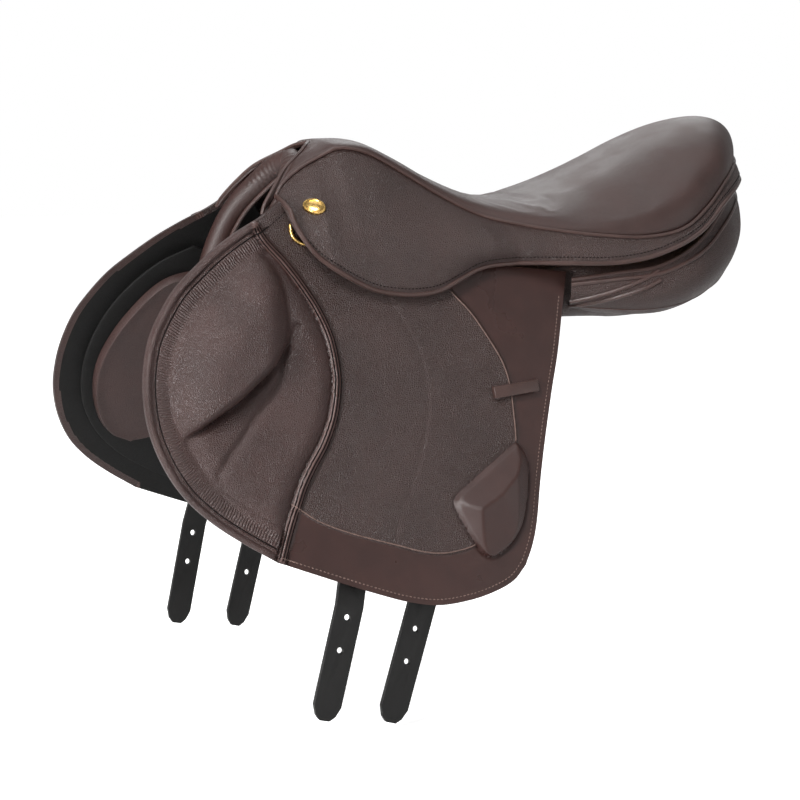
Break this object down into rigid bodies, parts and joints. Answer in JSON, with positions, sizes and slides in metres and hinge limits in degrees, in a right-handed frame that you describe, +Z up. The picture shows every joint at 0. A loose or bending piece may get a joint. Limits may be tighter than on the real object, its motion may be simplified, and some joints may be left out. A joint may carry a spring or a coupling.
{
  "type": "english saddle",
  "caption": "Close-contact jumping saddle: padded seat on a laminated tree, lifting flaps and skirts, stirrup bars, wool panels and long girth straps.",
  "frame": {"origin": "on the mid-plane, on the bearing line of the panels, under the deepest point of the seat", "axes": "+X from the pommel to the cantle, +Y from the near (left) side to the off side, +Z up"},
  "size_m": [0.6015, 0.4094, 0.4821],
  "materials": {
    "grained_leather": "pebbled, semi-matt",
    "smooth_leather": "smooth, soft sheen",
    "black_lining": "matt suede-like lining",
    "black_strap": "smooth bridle finish",
    "laminated_wood": "lacquered laminate",
    "cotton_web": "woven web",
    "seat_foam": "open-cell foam",
    "forged_steel": "polished forging",
    "blackened_steel": "black oxide",
    "brass": "polished"
  },
  "bodies": {
    "root": {"tree_head": "laminated_wood", "tree_cantle": "laminated_wood", "gullet_plate": "blackened_steel", "seat_webbing": "cotton_web", "seat_foam": "seat_foam", "seat_cover": "smooth_leather", "pommel_facing": "smooth_leather", "gullet_screw_near": "blackened_steel", "tree_rail_near": "laminated_wood", "stirrup_bar_near": "forged_steel", "panel_near": "grained_leather", "panel_tongue_near": "smooth_leather", "sweat_flap_near": "black_lining", "flap_top_near": "grained_leather", "skirt_near": "grained_leather", "nail_plate_near": "brass", "ring_chape_near": "smooth_leather", "girth_web_near_front": "cotton_web", "girth_web_near_back": "cotton_web", "gullet_screw_off": "blackened_steel", "tree_rail_off": "laminated_wood", "stirrup_bar_off": "forged_steel", "panel_off": "grained_leather", "panel_tongue_off": "smooth_leather", "sweat_flap_off": "black_lining", "flap_top_off": "grained_leather", "skirt_off": "grained_leather", "nail_plate_off": "brass", "ring_chape_off": "smooth_leather", "girth_web_off_front": "cotton_web", "girth_web_off_back": "cotton_web"},
    "flap_near": {"flap_near": "grained_leather", "knee_block_near": "smooth_leather", "calf_block_near": "smooth_leather", "keeper_near": "smooth_leather"},
    "skirt_lobe_near": {"skirt_lobe_near": "grained_leather"},
    "d_ring_near": {"d_ring_near": "brass"},
    "bar_catch_near": {"bar_catch_near": "forged_steel"},
    "billet_near_front": {"billet_near_front": "black_strap"},
    "billet_near_back": {"billet_near_back": "black_strap"},
    "flap_off": {"flap_off": "grained_leather", "knee_block_off": "smooth_leather", "calf_block_off": "smooth_leather", "keeper_off": "smooth_leather"},
    "skirt_lobe_off": {"skirt_lobe_off": "grained_leather"},
    "d_ring_off": {"d_ring_off": "brass"},
    "bar_catch_off": {"bar_catch_off": "forged_steel"},
    "billet_off_front": {"billet_off_front": "black_strap"},
    "billet_off_back": {"billet_off_back": "black_strap"}
  },
  "joints": [
    {"name": "flap_lift_near", "type": "hinge", "parent": "root", "child": "flap_near", "pos_m": [-0.1245, -0.10033, 0.0015], "axis": [-0.9871, 0.0651, 0.1462], "range_deg": [0, 70]},
    {"name": "skirt_lift_near", "type": "hinge", "parent": "root", "child": "skirt_lobe_near", "pos_m": [-0.1175, -0.1, 0.0535], "axis": [-0.9656, 0.0772, 0.2483], "range_deg": [0, 70]},
    {"name": "d_ring_swing_near", "type": "hinge", "parent": "root", "child": "d_ring_near", "pos_m": [-0.1905, -0.07412, 0.0685], "axis": [-1, 0, 0], "range_deg": [0, 12]},
    {"name": "bar_catch_turn_near", "type": "hinge", "parent": "root", "child": "bar_catch_near", "pos_m": [-0.0655, -0.0772, 0.051], "axis": [0, 1, 0], "range_deg": [0, 80]},
    {"name": "strap_swing_near_front", "type": "hinge", "parent": "root", "child": "billet_near_front", "pos_m": [-0.15014, -0.09869, -0.012], "axis": [0, 0.9136, -0.4066], "range_deg": [-2.5, 12]},
    {"name": "strap_swing_near_back", "type": "hinge", "parent": "root", "child": "billet_near_back", "pos_m": [-0.07522, -0.09869, -0.012], "axis": [0, 0.9136, -0.4066], "range_deg": [-10, 2.5]},
    {"name": "flap_lift_off", "type": "hinge", "parent": "root", "child": "flap_off", "pos_m": [-0.1245, 0.10033, 0.0015], "axis": [0.9871, 0.0651, -0.1462], "range_deg": [0, 70]},
    {"name": "skirt_lift_off", "type": "hinge", "parent": "root", "child": "skirt_lobe_off", "pos_m": [-0.1175, 0.1, 0.0535], "axis": [0.9656, 0.0772, -0.2483], "range_deg": [0, 70]},
    {"name": "d_ring_swing_off", "type": "hinge", "parent": "root", "child": "d_ring_off", "pos_m": [-0.1905, 0.07412, 0.0685], "axis": [1, 0, 0], "range_deg": [0, 12]},
    {"name": "bar_catch_turn_off", "type": "hinge", "parent": "root", "child": "bar_catch_off", "pos_m": [-0.0655, 0.0772, 0.051], "axis": [0, 1, 0], "range_deg": [0, 80]},
    {"name": "strap_swing_off_front", "type": "hinge", "parent": "root", "child": "billet_off_front", "pos_m": [-0.15014, 0.09869, -0.012], "axis": [0, 0.9136, 0.4066], "range_deg": [-2.5, 12]},
    {"name": "strap_swing_off_back", "type": "hinge", "parent": "root", "child": "billet_off_back", "pos_m": [-0.07522, 0.09869, -0.012], "axis": [0, 0.9136, 0.4066], "range_deg": [-10, 2.5]}
  ]
}
